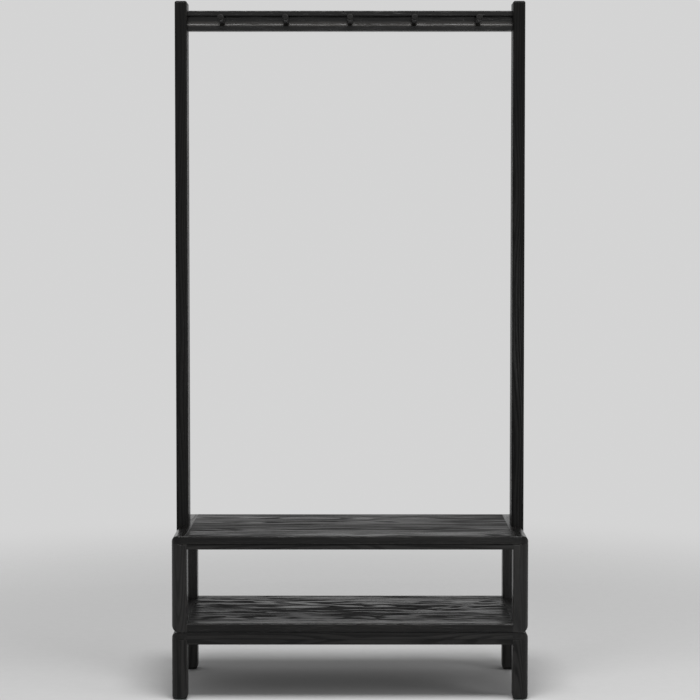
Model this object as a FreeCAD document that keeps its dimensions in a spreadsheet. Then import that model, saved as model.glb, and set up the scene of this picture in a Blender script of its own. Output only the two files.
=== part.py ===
import FreeCAD, Part

# Hall bench with a coat rack: a low base frame, a bench with a shelf stacked on it,
# two posts housed in the bench ends and a coved rail with pegs between the posts.
# Millimetres, +Z up, the front faces -Y, origin on the floor at the middle of the footprint.

import math
import os

import Sketcher

# Driving dimensions: millimetres, degrees for a tilt, and counts.
DRIVING_SIZES = {
    "overall_width": 914,
    "overall_depth": 380,
    "overall_height": 1800,
    "seat_height": 423,
    "seat_thickness": 21,
    "seat_rail_height": 14,
    "shelf_height": 198,
    "shelf_thickness": 23,
    "base_top_thickness": 18,
    "base_rail_height": 14,
    "base_rail_step": 2,
    "leg_width": 40,
    "leg_depth": 45,
    "rail_thickness": 22,
    "rail_setback": 1,
    "side_rail_height": 30,
    "side_rail_thickness": 22,
    "corner_radius": 23,
    "end_radius": 18,
    "panel_radius": 5,
    "edge_radius": 3,
    "seam_radius": 1.5,
    "rail_radius": 2,
    "leg_top_radius": 2.5,
    "foot_radius": 8,
    "glide_thickness": 2,
    "glide_diameter": 26,
    "tongue_length": 7,
    "tongue_thickness": 5,
    "tongue_lift": 3,
    "tongue_stop": 40,
    "post_width": 32,
    "post_depth": 64,
    "post_radius": 4,
    "post_top_radius": 6,
    "post_housing": 12,
    "peg_rail_drop": 24,
    "peg_rail_height": 53,
    "peg_rail_thickness": 26,
    "cove_width": 27.6,
    "cove_depth": 9,
    "tenon_length": 16,
    "tenon_height": 35,
    "tenon_thickness": 12,
    "peg_count": 5,
    "peg_end_space": 91,
    "peg_diameter": 16,
    "peg_reach": 75,
    "peg_socket": 12,
    "peg_chamfer": 2,
    "peg_tilt": 1.5,
    "peg_clearance": 0.1,
    "joint_clearance": 0.2,
    "leg_tenon_width": 16,
    "leg_tenon_thickness": 8,
    "leg_tenon_length": 24,
    "leg_tenon_reach": 9,
    "leg_tenon_offset": 7,
    "rail_tenon_width": 14,
    "rail_tenon_thickness": 5,
    "rail_tenon_length": 24,
    "shelf_tenon_inset": 45,
    "tenon_clearance": 0.1,
    "tenon_end_gap": 0.5,
    "post_bolt_diameter": 8,
    "post_bolt_head_diameter": 15,
    "post_bolt_head_height": 5,
    "post_bolt_bite": 15,
    "post_bolt_spacing": 32,
    "post_insert_diameter": 12,
    "post_insert_length": 18,
    "module_bolt_diameter": 6,
    "module_bolt_head_diameter": 11.5,
    "module_bolt_head_height": 4,
    "module_bolt_bite": 12,
    "module_bolt_margin": 1,
    "module_insert_diameter": 10,
    "module_insert_length": 15,
    "bolt_clearance": 0.5,
    "thread_clearance": 0.1,
    "sleeve_end_gap": 0.5,
}

doc = FreeCAD.newDocument("hall_bench_rack")
sheet = doc.addObject("Spreadsheet::Sheet", "sizes")
for row, (alias, value) in enumerate(DRIVING_SIZES.items(), start=1):
    sheet.set(f"A{row}", str(value))
    sheet.setAlias(f"A{row}", alias)
doc.recompute()

# Levels and faces that several pieces share, as expressions of the sheet.
HALF_WIDTH = "(sizes.overall_width / 2)"
HALF_DEPTH = "(sizes.overall_depth / 2)"
LEG_INNER_X = f"({HALF_WIDTH} - sizes.leg_width)"
LEG_INNER_Y = f"({HALF_DEPTH} - sizes.leg_depth)"
LEG_MID_X = f"({HALF_WIDTH} - sizes.leg_width / 2)"
LEG_MID_Y = f"({HALF_DEPTH} - sizes.leg_depth / 2)"
FLOOR_GAP = "sizes.glide_thickness"
SEAT_TOP = "sizes.seat_height"
SEAT_UNDER = "(sizes.seat_height - sizes.seat_thickness)"
SEAT_RAIL_UNDER = f"({SEAT_UNDER} - sizes.seat_rail_height)"
SIDE_RAIL_UNDER = f"({SEAT_UNDER} - sizes.side_rail_height)"
SHELF_TOP = "sizes.shelf_height"
MODULE_SEAM = "(sizes.shelf_height - sizes.shelf_thickness)"
BASE_TOP_UNDER = f"({MODULE_SEAM} - sizes.base_top_thickness)"
BASE_RAIL_UNDER = f"({BASE_TOP_UNDER} - sizes.base_rail_height)"
POST_INNER_X = f"({HALF_WIDTH} - sizes.post_width)"
POST_MID_X = f"({HALF_WIDTH} - sizes.post_width / 2)"
POST_FOOT = "(sizes.seat_height - sizes.post_housing)"
POST_TOP = "sizes.overall_height"
PEG_RAIL_TOP = "(sizes.overall_height - sizes.peg_rail_drop)"
PEG_RAIL_UNDER = f"({PEG_RAIL_TOP} - sizes.peg_rail_height)"
PEG_RAIL_MID = f"({PEG_RAIL_TOP} - sizes.peg_rail_height / 2)"
RAIL_MID_Y = f"({HALF_DEPTH} - sizes.rail_setback - sizes.rail_thickness / 2)"
BASE_RAIL_MID_Y = f"({HALF_DEPTH} - sizes.base_rail_step - sizes.rail_thickness / 2)"
# The bolts between base and bench stand just inside the drawn-in edge of the shelf's sides.
MODULE_BOLT_INSET = "(sizes.end_radius + sizes.module_insert_diameter / 2 + sizes.module_bolt_margin)"
MODULE_BOLT_X = f"({HALF_WIDTH} - {MODULE_BOLT_INSET})"

SIDES = {"left": -1, "right": 1}
ENDS = {"front": -1, "back": 1}

ALONG = {
    "x": FreeCAD.Rotation(FreeCAD.Vector(0, 1, 0), 90),
    "z": FreeCAD.Rotation(),
}
# Origin plane across each axis, the axes of its two directions, and the sign of its normal.
ACROSS = {
    "x": ("YZ_Plane", "yzx", 1),
    "y": ("XZ_Plane", "xzy", -1),
    "z": ("XY_Plane", "xyz", 1),
}

# Sides of a small bar: a hexagon head, a plain stand-in for a thread, and a true round.
HEAD_SIDES = 6
THREAD_SIDES = 8
ROUND = 0

pieces = {}


def number(expression):
    """Value of an expression at the present sizes."""
    return float(sheet.evalExpression(expression))


def signed(sign, expression):
    """Expression on the positive or the negative side of its axis."""
    return expression if sign > 0 else f"(-{expression})"


def span(sign, near, far):
    """Low end and length of the stretch from near to far on one side of an axis."""
    low = near if sign > 0 else f"(-{far})"
    return low, f"({far} - {near})"


def centred(half):
    """Low end and length of a stretch of this half length about zero."""
    return f"(-{half})", f"(2 * {half})"


def bind_place(feature, place):
    """Ties a feature's position to three expressions."""
    for letter, expression in zip("xyz", place):
        feature.setExpression(f"Placement.Base.{letter}", expression)


def new_body(label):
    """Empty body that becomes one piece of the assembly."""
    body = doc.addObject("PartDesign::Body", label)
    body.Label = label
    pieces[label] = body
    return body


def block(body, name, x_span, y_span, z_span, kind="Additive"):
    """Adds or cuts a box given by its low end and length along each axis."""
    feature = body.newObject(f"PartDesign::{kind}Box", name)
    for side, stretch in zip(("Length", "Width", "Height"), (x_span, y_span, z_span)):
        feature.setExpression(side, stretch[1])
    bind_place(feature, (x_span[0], y_span[0], z_span[0]))


def bore(body, name, start, axis, radius, length):
    """Cuts a round hole from start along an axis."""
    feature = body.newObject("PartDesign::SubtractiveCylinder", name)
    feature.Placement = FreeCAD.Placement(FreeCAD.Vector(), ALONG[axis])
    feature.setExpression("Radius", radius)
    feature.setExpression("Height", length)
    bind_place(feature, start)


def sketch_across(body, name, axis, place):
    """Sketch square to an axis with its origin at place."""
    role, letters, normal_sign = ACROSS[axis]
    sketch = body.newObject("Sketcher::SketchObject", name)
    plane = next(item for item in body.Origin.OriginFeatures if item.Role == role)
    sketch.AttachmentSupport = [(plane, "")]
    sketch.MapMode = "FlatFace"
    coordinate = dict(zip("xyz", place))
    sketch.setExpression("AttachmentOffset.Base.x", coordinate[letters[0]])
    sketch.setExpression("AttachmentOffset.Base.y", coordinate[letters[1]])
    sketch.setExpression("AttachmentOffset.Base.z", f"{normal_sign} * {coordinate[letters[2]]}")
    return sketch


def arc_between(centre, start, finish):
    """Quarter arc from start to finish, and whether it runs anticlockwise between them."""
    angles = [math.atan2(point.y - centre.y, point.x - centre.x) for point in (start, finish)]
    forward = (angles[1] - angles[0]) % (2 * math.pi) < math.pi
    if not forward:
        angles.reverse()
    if angles[1] < angles[0]:
        angles[1] += 2 * math.pi
    circle = Part.Circle(centre, FreeCAD.Vector(0, 0, 1), (start - centre).Length)
    return Part.ArcOfCircle(circle, angles[0], angles[1]), forward


def named_limit(sketch, name, constraint, expression):
    """Adds a dimension to a sketch and ties it to an expression."""
    index = sketch.addConstraint(constraint)
    sketch.renameConstraint(index, name)
    sketch.setExpression(f"Constraints.{name}", expression)


def round_edge(body, name, axis, place, outward, radius, length=None):
    """Rounds the edge that runs along an axis through place.

    The waste between the edge and the round is cut away, right through or over a length
    from place. Outward holds the signs of the two directions that point off the solid.
    """
    sketch = sketch_across(body, f"{name}_waste", axis, place)
    size = number(radius)
    edge = FreeCAD.Vector()
    first = FreeCAD.Vector(-outward[0] * size, 0, 0)
    second = FreeCAD.Vector(0, -outward[1] * size, 0)
    curve, forward = arc_between(first + second, first, second)
    sketch.addGeometry(Part.LineSegment(edge, first))
    sketch.addGeometry(Part.LineSegment(edge, second))
    sketch.addGeometry(curve)
    arc_ends = (1, 2) if forward else (2, 1)
    sketch.addConstraint(Sketcher.Constraint("Coincident", 0, 1, -1, 1))
    sketch.addConstraint(Sketcher.Constraint("Coincident", 1, 1, -1, 1))
    sketch.addConstraint(Sketcher.Constraint("Horizontal", 0))
    sketch.addConstraint(Sketcher.Constraint("Vertical", 1))
    sketch.addConstraint(Sketcher.Constraint("Tangent", 0, 2, 2, arc_ends[0]))
    sketch.addConstraint(Sketcher.Constraint("Tangent", 1, 2, 2, arc_ends[1]))
    named_limit(sketch, "radius", Sketcher.Constraint("Radius", 2, size), radius)
    pocket = body.newObject("PartDesign::Pocket", name)
    pocket.Profile = sketch
    if length is None:
        pocket.Type = "ThroughAll"
        pocket.SideType = "Symmetric"
    else:
        pocket.Type = "Length"
        pocket.Reversed = True
        pocket.setExpression("Length", length)


def rounded_rectangle(sketch, width, depth, radius):
    """Rectangle with round corners about the sketch's origin."""
    half_x = number(width) / 2
    half_y = number(depth) / 2
    size = number(radius)
    turns = ((1, 1), (-1, 1), (-1, -1), (1, -1))
    corners = []
    for sign_x, sign_y in turns:
        centre = FreeCAD.Vector(sign_x * (half_x - size), sign_y * (half_y - size), 0)
        on_side = centre + FreeCAD.Vector(sign_x * size, 0, 0)
        on_end = centre + FreeCAD.Vector(0, sign_y * size, 0)
        ordered = (on_side, on_end) if sign_x * sign_y > 0 else (on_end, on_side)
        curve, _ = arc_between(centre, *ordered)
        sketch.addGeometry(curve)
        corners.append(ordered)
    for index in range(4):
        following = (index + 1) % 4
        sketch.addGeometry(Part.LineSegment(corners[index][1], corners[following][0]))
        sketch.addConstraint(Sketcher.Constraint("Tangent", index, 2, 4 + index, 1))
        sketch.addConstraint(Sketcher.Constraint("Tangent", 4 + index, 2, following, 1))
        direction = "Horizontal" if index % 2 == 0 else "Vertical"
        sketch.addConstraint(Sketcher.Constraint(direction, 4 + index))
    sketch.addConstraint(Sketcher.Constraint("Equal", 0, 1))
    sketch.addConstraint(Sketcher.Constraint("Equal", 0, 2))
    sketch.addConstraint(Sketcher.Constraint("Symmetric", 0, 3, 2, 3, -1, 1))
    named_limit(sketch, "radius", Sketcher.Constraint("Radius", 0, size), radius)
    named_limit(sketch, "width", Sketcher.Constraint("DistanceX", 5, 1, 7, 1, 2 * half_x), width)
    named_limit(sketch, "depth", Sketcher.Constraint("DistanceY", 6, 1, 4, 1, 2 * half_y), depth)


def bar(name, start, sides, radius, length):
    """Upright bar on start for a group of small parts: a prism of so many sides, or round at none."""
    solid = doc.addObject("Part::Prism" if sides else "Part::Cylinder", name)
    if sides:
        solid.Polygon = sides
    solid.setExpression("Circumradius" if sides else "Radius", radius)
    solid.setExpression("Height", length)
    bind_place(solid, start)
    return solid


def combine(kind, name, base, tool):
    """Joins two solids, or cuts the second from the first."""
    result = doc.addObject(f"Part::{kind}", name)
    result.Base = base
    result.Tool = tool
    return result


def group(label, solids):
    """One piece made of several separate like solids."""
    compound = doc.addObject("Part::Compound", label)
    compound.Label = label
    compound.Links = solids
    pieces[label] = compound


def leg(label, side, end, low, high, bare_low, bare_high):
    """Leg with its outer corner rounded over the full height and soft edges where it is bare."""
    body = new_body(label)
    outer_x = signed(side, HALF_WIDTH)
    inner_x = signed(side, LEG_INNER_X)
    outer_y = signed(end, HALF_DEPTH)
    inner_y = signed(end, LEG_INNER_Y)
    block(body, "leg_block", span(side, LEG_INNER_X, HALF_WIDTH), span(end, LEG_INNER_Y, HALF_DEPTH),
          (low, f"({high} - {low})"))
    round_edge(body, "outer_corner", "z", (outer_x, outer_y, "0"), (side, end), "sizes.corner_radius")
    soft_corners = (
        (inner_x, outer_y, (-side, end)),
        (inner_x, inner_y, (-side, -end)),
        (outer_x, inner_y, (side, -end)),
    )
    for corner_x, corner_y, outward in soft_corners:
        round_edge(body, "soft_edge", "z", (corner_x, corner_y, bare_low), outward,
                   "sizes.edge_radius", f"({bare_high} - {bare_low})")
    round_edge(body, "top_edge", "x", ("0", outer_y, high), (end, 1), "sizes.leg_top_radius")
    return body


def base_leg(label, side, end):
    """Short leg of the base, rounded all round its foot."""
    body = leg(label, side, end, FLOOR_GAP, BASE_TOP_UNDER, FLOOR_GAP, BASE_RAIL_UNDER)
    for face_x, outward in ((HALF_WIDTH, side), (LEG_INNER_X, -side)):
        round_edge(body, "foot_side", "y", (signed(side, face_x), "0", FLOOR_GAP), (outward, -1),
                   "sizes.foot_radius")
    for face_y, outward in ((HALF_DEPTH, end), (LEG_INNER_Y, -end)):
        round_edge(body, "foot_end", "x", ("0", signed(end, face_y), FLOOR_GAP), (outward, -1),
                   "sizes.foot_radius")


def upper_leg(label, side, end):
    """Leg between shelf and seat, drawn in at its outer foot above the module seam."""
    body = leg(label, side, end, MODULE_SEAM, SEAT_UNDER, SHELF_TOP, SEAT_RAIL_UNDER)
    round_edge(body, "drawn_in_foot", "y", (signed(side, HALF_WIDTH), "0", MODULE_SEAM), (side, -1),
               "sizes.end_radius")
    round_edge(body, "seam_edge", "x", ("0", signed(end, HALF_DEPTH), MODULE_SEAM), (end, -1),
               "sizes.seam_radius")


def end_rail(label, side, low, high, front_radius):
    """Cross piece over two legs, with round plan corners and a rounded outer top edge."""
    body = new_body(label)
    outer_x = signed(side, HALF_WIDTH)
    block(body, "rail_block", span(side, LEG_INNER_X, HALF_WIDTH), centred(HALF_DEPTH),
          (low, f"({high} - {low})"))
    for end in ENDS.values():
        round_edge(body, "plan_corner", "z", (outer_x, signed(end, HALF_DEPTH), "0"), (side, end),
                   "sizes.corner_radius")
    round_edge(body, "outer_top", "y", (outer_x, "0", high), (side, 1), "sizes.end_radius")
    for end in ENDS.values():
        round_edge(body, "end_top", "x", ("0", signed(end, HALF_DEPTH), high), (end, 1), front_radius)
    return body


def seat_end_rail(label, side):
    """End of the seat: grooved for the panel's tongue, with a housing for the post."""
    body = end_rail(label, side, SEAT_UNDER, SEAT_TOP, "sizes.panel_radius")
    slack = "sizes.joint_clearance"
    groove_end = f"({LEG_INNER_X} + sizes.tongue_length + {slack})"
    block(body, "tongue_groove", span(side, LEG_INNER_X, groove_end),
          centred(f"({HALF_DEPTH} - sizes.tongue_stop + {slack})"),
          (f"({SEAT_UNDER} + sizes.tongue_lift - {slack})", f"(sizes.tongue_thickness + 2 * {slack})"),
          "Subtractive")
    outline = sketch_across(body, "housing_outline", "z", (signed(side, POST_MID_X), "0", SEAT_TOP))
    rounded_rectangle(outline, f"sizes.post_width + 2 * {slack}", f"sizes.post_depth + 2 * {slack}",
                      f"sizes.post_radius + {slack}")
    housing = body.newObject("PartDesign::Pocket", "post_housing")
    housing.Profile = outline
    housing.Type = "Length"
    housing.setExpression("Length", "sizes.post_housing")


def cross_rail(label, end, low, high, setback):
    """Long rail between two legs, with its lower edges rounded."""
    body = new_body(label)
    far = f"({HALF_DEPTH} - {setback})"
    near = f"({HALF_DEPTH} - {setback} - sizes.rail_thickness)"
    block(body, "rail_block", centred(LEG_INNER_X), span(end, near, far), (low, f"({high} - {low})"))
    for face_y, outward in ((far, end), (near, -end)):
        round_edge(body, "under_edge", "x", ("0", signed(end, face_y), low), (outward, -1),
                   "sizes.rail_radius")
    return body


def seat_rail(label, end):
    """Rail under the front or back edge of the seat, eased along the seam between them."""
    body = cross_rail(label, end, SEAT_RAIL_UNDER, SEAT_UNDER, "sizes.rail_setback")
    face_y = signed(end, f"({HALF_DEPTH} - sizes.rail_setback)")
    round_edge(body, "seam_edge", "x", ("0", face_y, SEAT_UNDER), (end, 1), "sizes.seam_radius")


def base_rail(label, end):
    """Stepped rail of the base: a flush upper band over a lower band that is set back."""
    body = cross_rail(label, end, BASE_RAIL_UNDER, BASE_TOP_UNDER, "sizes.base_rail_step")
    near = f"({HALF_DEPTH} - sizes.base_rail_step - sizes.rail_thickness)"
    block(body, "upper_band", centred(LEG_INNER_X), span(end, near, HALF_DEPTH),
          (BASE_TOP_UNDER, "sizes.base_top_thickness"))
    for level, upward in ((MODULE_SEAM, 1), (BASE_TOP_UNDER, -1)):
        round_edge(body, "band_edge", "x", ("0", signed(end, HALF_DEPTH), level), (end, upward),
                   "sizes.seam_radius")


def side_rail(label, side, middle, low, high):
    """Rail from front leg to back leg under an end rail, along the line of its bolts."""
    body = new_body(label)
    near = f"({middle} - sizes.side_rail_thickness / 2)"
    far = f"({middle} + sizes.side_rail_thickness / 2)"
    block(body, "rail_block", span(side, near, far), centred(LEG_INNER_Y), (low, f"({high} - {low})"))
    for face_x, outward in ((far, side), (near, -side)):
        round_edge(body, "under_edge", "y", (signed(side, face_x), "0", low), (outward, -1),
                   "sizes.rail_radius")


def shelf_side_rail(label, side):
    """Side of the shelf between two legs, drawn in below like the legs."""
    body = new_body(label)
    outer_x = signed(side, HALF_WIDTH)
    block(body, "rail_block", span(side, LEG_INNER_X, HALF_WIDTH), centred(LEG_INNER_Y),
          (MODULE_SEAM, "sizes.shelf_thickness"))
    round_edge(body, "drawn_in_edge", "y", (outer_x, "0", MODULE_SEAM), (side, -1), "sizes.end_radius")
    round_edge(body, "top_edge", "y", (outer_x, "0", SHELF_TOP), (side, 1), "sizes.edge_radius")


def panel(label, low, high):
    """Board between the legs or end rails, soft along its front and back edges."""
    body = new_body(label)
    block(body, "board", centred(LEG_INNER_X), centred(HALF_DEPTH), (low, f"({high} - {low})"))
    for end in ENDS.values():
        face_y = signed(end, HALF_DEPTH)
        round_edge(body, "top_edge", "x", ("0", face_y, high), (end, 1), "sizes.panel_radius")
        round_edge(body, "under_edge", "x", ("0", face_y, low), (end, -1), "sizes.seam_radius")
    return body


def seat_panel(label):
    """Seat board with a stopped tongue along each end."""
    body = panel(label, SEAT_UNDER, SEAT_TOP)
    block(body, "tongues", centred(f"({LEG_INNER_X} + sizes.tongue_length)"),
          centred(f"({HALF_DEPTH} - sizes.tongue_stop)"),
          (f"({SEAT_UNDER} + sizes.tongue_lift)", "sizes.tongue_thickness"))


def post(label, side):
    """Upright with soft edges, a rounded top and a mortise for the peg rail."""
    body = new_body(label)
    outline = sketch_across(body, "post_outline", "z", (signed(side, POST_MID_X), "0", POST_FOOT))
    rounded_rectangle(outline, "sizes.post_width", "sizes.post_depth", "sizes.post_radius")
    upright = body.newObject("PartDesign::Pad", "upright")
    upright.Profile = outline
    upright.setExpression("Length", f"{POST_TOP} - {POST_FOOT}")
    for face_x, outward in ((HALF_WIDTH, side), (POST_INNER_X, -side)):
        round_edge(body, "top_side", "y", (signed(side, face_x), "0", POST_TOP), (outward, 1),
                   "sizes.post_top_radius")
    for end in ENDS.values():
        round_edge(body, "top_end", "x", ("0", signed(end, "(sizes.post_depth / 2)"), POST_TOP), (end, 1),
                   "sizes.post_top_radius")
    slack = "sizes.joint_clearance"
    mortise_end = f"({POST_INNER_X} + sizes.tenon_length + {slack})"
    half_height = f"(sizes.tenon_height / 2 + {slack})"
    block(body, "mortise", span(side, POST_INNER_X, mortise_end),
          centred(f"(sizes.tenon_thickness / 2 + {slack})"),
          (f"({PEG_RAIL_MID} - {half_height})", f"(2 * {half_height})"), "Subtractive")


def peg_places():
    """Distance of each peg from the middle of the rail, at an even pitch between the end spaces."""
    count = int(number("sizes.peg_count"))
    pitch = f"(2 * ({POST_INNER_X} - sizes.peg_end_space) / {count - 1})"
    return [f"({pitch} * {index - (count - 1) / 2})" for index in range(count)]


COVE_RADIUS = "((sizes.cove_width^2 / 4 + sizes.cove_depth^2) / (2 * sizes.cove_depth))"
COVE_FLOOR_Y = "(sizes.cove_depth - sizes.peg_rail_thickness / 2)"
PEG_START_Y = f"({COVE_FLOOR_Y} + sizes.peg_socket * cos(sizes.peg_tilt))"
PEG_START_Z = f"({PEG_RAIL_MID} - sizes.peg_socket * sin(sizes.peg_tilt))"
PEG_LENGTH = "(sizes.peg_socket + sizes.cove_depth + sizes.peg_reach)"
PEG_TURN = "90 - sizes.peg_tilt"


def lean(feature, place):
    """Turns a feature's own Z axis forwards to the pegs' upward tilt and sets it at place."""
    feature.Placement = FreeCAD.Placement(FreeCAD.Vector(), FreeCAD.Rotation(FreeCAD.Vector(1, 0, 0), 90))
    feature.setExpression("Placement.Rotation.Angle", PEG_TURN)
    bind_place(feature, place)


def peg_rail(label):
    """Rail with a cove along its front, a stub tenon at each end and a socket for each peg."""
    body = new_body(label)
    half_thickness = "(sizes.peg_rail_thickness / 2)"
    block(body, "rail_block", centred(POST_INNER_X), centred(half_thickness),
          (PEG_RAIL_UNDER, "sizes.peg_rail_height"))
    for level, upward in ((PEG_RAIL_TOP, 1), (PEG_RAIL_UNDER, -1)):
        for end in ENDS.values():
            round_edge(body, "long_edge", "x", ("0", signed(end, half_thickness), level), (end, upward),
                       "sizes.rail_radius")
    cove_axis_y = f"({COVE_FLOOR_Y} - {COVE_RADIUS})"
    bore(body, "cove", (f"(-{POST_INNER_X})", cove_axis_y, PEG_RAIL_MID), "x", COVE_RADIUS,
         f"(2 * {POST_INNER_X})")
    block(body, "tenons", centred(f"({POST_INNER_X} + sizes.tenon_length)"),
          centred("(sizes.tenon_thickness / 2)"),
          (f"({PEG_RAIL_MID} - sizes.tenon_height / 2)", "sizes.tenon_height"))
    for place_x in peg_places():
        socket = body.newObject("PartDesign::SubtractiveCylinder", "peg_socket")
        socket.setExpression("Radius", "sizes.peg_diameter / 2 + sizes.peg_clearance")
        socket.setExpression("Height", PEG_LENGTH)
        lean(socket, (place_x, PEG_START_Y, PEG_START_Z))


def peg(label, place_x):
    """Turned peg with a chamfered front edge, leaning up a little out of the cove."""
    body = new_body(label)
    radius = number("sizes.peg_diameter") / 2
    length = number(PEG_LENGTH)
    chamfer = number("sizes.peg_chamfer")
    profile = sketch_across(body, "peg_profile", "y", ("0", "0", "0"))
    corners = (
        FreeCAD.Vector(0, length, 0),
        FreeCAD.Vector(),
        FreeCAD.Vector(radius, 0, 0),
        FreeCAD.Vector(radius, length - chamfer, 0),
        FreeCAD.Vector(radius - chamfer, length, 0),
    )
    for index, corner in enumerate(corners):
        following = (index + 1) % len(corners)
        profile.addGeometry(Part.LineSegment(corner, corners[following]))
    for index in range(len(corners)):
        following = (index + 1) % len(corners)
        profile.addConstraint(Sketcher.Constraint("Coincident", index, 2, following, 1))
    profile.addConstraint(Sketcher.Constraint("Coincident", 0, 2, -1, 1))
    for direction, line in (("Vertical", 0), ("Horizontal", 1), ("Vertical", 2), ("Horizontal", 4)):
        profile.addConstraint(Sketcher.Constraint(direction, line))
    named_limit(profile, "radius", Sketcher.Constraint("DistanceX", 1, 1, 1, 2, radius),
                "sizes.peg_diameter / 2")
    named_limit(profile, "length", Sketcher.Constraint("DistanceY", 0, 2, 0, 1, length), PEG_LENGTH)
    named_limit(profile, "chamfer_depth", Sketcher.Constraint("DistanceY", 3, 1, 3, 2, chamfer),
                "sizes.peg_chamfer")
    named_limit(profile, "chamfer_width", Sketcher.Constraint("DistanceX", 3, 2, 3, 1, chamfer),
                "sizes.peg_chamfer")
    turned = body.newObject("PartDesign::Revolution", "turned_peg")
    turned.Profile = profile
    turned.ReferenceAxis = (profile, ["V_Axis"])
    turned.Angle = 360
    lean(body, (place_x, PEG_START_Y, PEG_START_Z))


def slip_joints(label, family, joints):
    """Loose tenons of one family, each with a blind mortise in the two pieces that it joins."""
    width = f"sizes.{family}_width"
    thickness = f"sizes.{family}_thickness"
    length = f"sizes.{family}_length"
    tenons = []
    for place, axis, holders in joints:
        extents = {"x": (length, width, thickness), "y": (width, length, thickness),
                   "z": (thickness, width, length)}[axis]
        tenon = doc.addObject("Part::Box", "slip_tenon")
        for side, extent in zip(("Length", "Width", "Height"), extents):
            tenon.setExpression(side, extent)
        bind_place(tenon, [f"({centre} - {extent} / 2)" for centre, extent in zip(place, extents)])
        tenons.append(tenon)
        stretches = []
        for letter, centre, extent in zip("xyz", place, extents):
            slack = "sizes.tenon_end_gap" if letter == axis else "sizes.tenon_clearance"
            stretches.append((f"({centre} - {extent} / 2 - {slack})", f"({extent} + 2 * {slack})"))
        for holder in holders:
            block(pieces[holder], "mortise", *stretches, kind="Subtractive")
    group(label, tenons)


def bolted_joints(prefix, places, under, meeting, holders, receiver):
    """Hexagon bolts from below with threaded sleeves, and the holes that they need.

    Args are the bolts' places as (side, x, y), the level under the lowest piece, the level
    where the receiving piece begins, the pieces passed through and the receiving piece.
    """
    diameter = f"sizes.{prefix}_bolt_diameter"
    head = f"sizes.{prefix}_bolt_head_diameter"
    head_height = f"sizes.{prefix}_bolt_head_height"
    sleeve = f"sizes.{prefix}_insert_diameter"
    sleeve_length = f"sizes.{prefix}_insert_length"
    hole_radius = f"({diameter} / 2 + sizes.bolt_clearance)"
    thread_radius = f"({diameter} / 2 + sizes.thread_clearance)"
    bolts = []
    sleeves = []
    for side, place_x, place_y in places:
        under_head = (place_x, place_y, f"({under} - {head_height})")
        from_below = (place_x, place_y, under)
        at_meeting = (place_x, place_y, meeting)
        cap = bar("bolt_head", under_head, HEAD_SIDES, f"{head} / 2", head_height)
        shank = bar("bolt_shank", from_below, THREAD_SIDES, f"{diameter} / 2",
                    f"{meeting} + sizes.{prefix}_bolt_bite - {under}")
        bolts.append(combine("Fuse", "bolt", cap, shank))
        barrel = bar("sleeve_barrel", at_meeting, THREAD_SIDES, f"{sleeve} / 2", sleeve_length)
        thread = bar("sleeve_thread", at_meeting, THREAD_SIDES, thread_radius, sleeve_length)
        sleeves.append(combine("Cut", "sleeve", barrel, thread))
        for holder in holders:
            bore(pieces[f"{holder}_{side}"], "bolt_hole", from_below, "z", hole_radius,
                 f"({meeting} - {under})")
        bore(pieces[f"{receiver}_{side}"], "sleeve_hole", at_meeting, "z",
             f"({sleeve} / 2 + sizes.thread_clearance)", f"({sleeve_length} + sizes.sleeve_end_gap)")
    group(f"{prefix}_bolts", bolts)
    group(f"{prefix}_inserts", sleeves)


# Base frame, bench and rack, from the floor up.
for end_name, end in ENDS.items():
    for side_name, side in SIDES.items():
        base_leg(f"base_leg_{end_name}_{side_name}", side, end)
        upper_leg(f"upper_leg_{end_name}_{side_name}", side, end)
    base_rail(f"base_{end_name}_rail", end)
    seat_rail(f"seat_{end_name}_rail", end)
for side_name, side in SIDES.items():
    end_rail(f"base_end_rail_{side_name}", side, BASE_TOP_UNDER, MODULE_SEAM, "sizes.seam_radius")
    side_rail(f"base_side_rail_{side_name}", side, MODULE_BOLT_X, BASE_RAIL_UNDER, BASE_TOP_UNDER)
    shelf_side_rail(f"shelf_side_rail_{side_name}", side)
    side_rail(f"seat_side_rail_{side_name}", side, POST_MID_X, SIDE_RAIL_UNDER, SEAT_UNDER)
    seat_end_rail(f"seat_end_rail_{side_name}", side)
    post(f"post_{side_name}", side)
panel("shelf_panel", MODULE_SEAM, SHELF_TOP)
seat_panel("seat_panel")
peg_rail("peg_rail")
for index, place_x in enumerate(peg_places(), start=1):
    peg(f"peg_{index}", place_x)

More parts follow.
